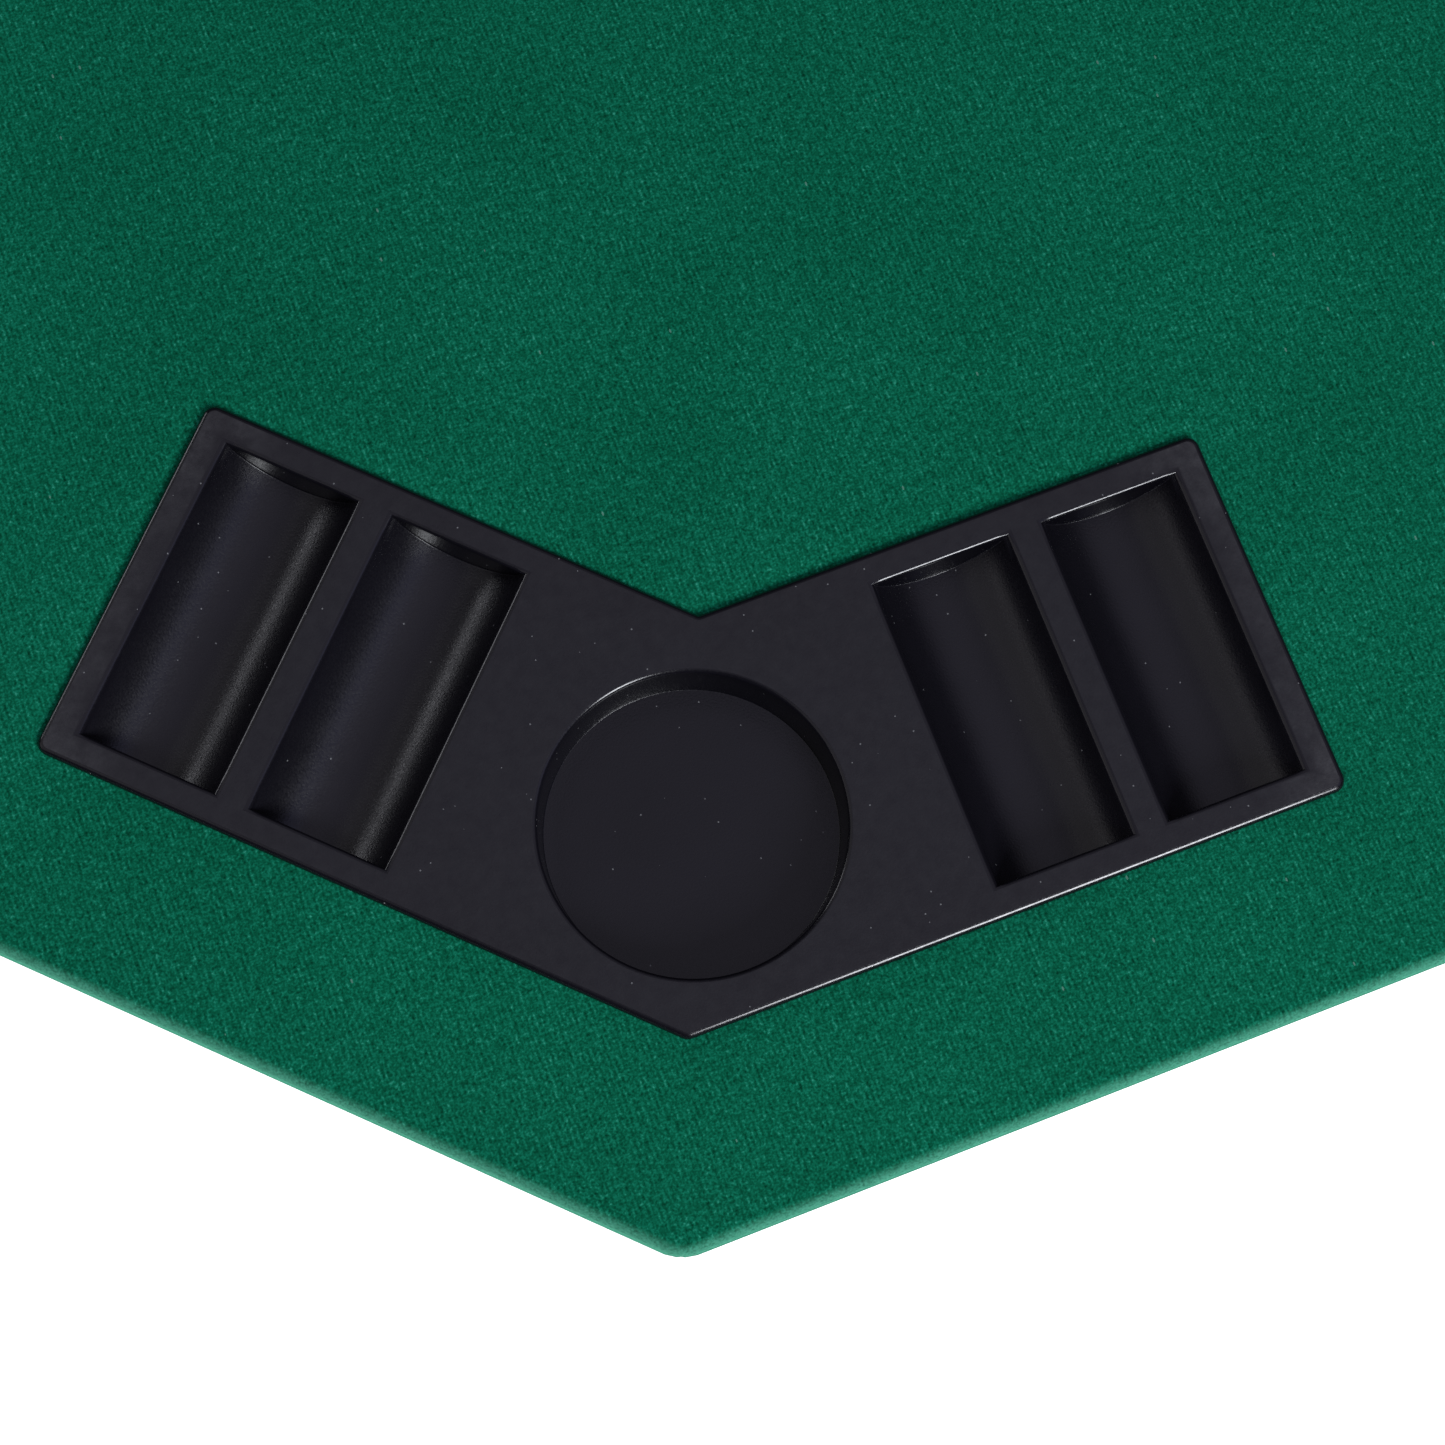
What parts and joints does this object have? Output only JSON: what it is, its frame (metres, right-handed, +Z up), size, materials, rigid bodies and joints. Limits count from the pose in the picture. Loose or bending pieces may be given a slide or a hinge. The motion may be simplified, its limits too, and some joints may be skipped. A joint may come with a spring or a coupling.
{
  "type": "folding poker table top",
  "caption": "Octagonal felt-covered poker table top that folds in half, with a moulded corner tray for a cup and rows of chips at each player's place.",
  "frame": {"origin": "centre of the footprint, on the plane that the rubber feet stand on", "axes": "+Z up through the playing surface, +X along the fold seam, +Y towards the half that folds up and over"},
  "size_m": [1.22, 1.22, 0.0268],
  "materials": {
    "felt": "short napped green felt",
    "tray_plastic": "satin black moulded plastic",
    "fibreboard": "bare medium-density fibreboard",
    "foam": "closed-cell foam",
    "rubber": "moulded black rubber",
    "hinge_steel": "nickel-plated pressed steel",
    "pin_steel": "drawn steel wire",
    "screw_steel": "nickel-plated",
    "staple_steel": "galvanised wire"
  },
  "bodies": {
    "front_half": {"front_board": "fibreboard", "front_foam": "foam", "front_felt": "felt", "front_staples": "staple_steel", "front_tray_1": "tray_plastic", "front_tray_2": "tray_plastic", "front_tray_3": "tray_plastic", "front_tray_4": "tray_plastic", "front_feet": "rubber", "front_foot_screws": "screw_steel", "left_hinge_front_leaf": "hinge_steel", "right_hinge_front_leaf": "hinge_steel", "left_hinge_pin": "pin_steel", "right_hinge_pin": "pin_steel", "front_hinge_screws": "screw_steel"},
    "back_half": {"back_board": "fibreboard", "back_foam": "foam", "back_felt": "felt", "back_staples": "staple_steel", "back_tray_1": "tray_plastic", "back_tray_2": "tray_plastic", "back_tray_3": "tray_plastic", "back_tray_4": "tray_plastic", "back_feet": "rubber", "back_foot_screws": "screw_steel", "left_hinge_back_leaf": "hinge_steel", "right_hinge_back_leaf": "hinge_steel", "back_hinge_screws": "screw_steel"}
  },
  "joints": [
    {"name": "fold", "type": "hinge", "parent": "front_half", "child": "back_half", "pos_m": [0, 0, 0.0236], "axis": [1, 0, 0], "range_deg": [0, 180]}
  ]
}
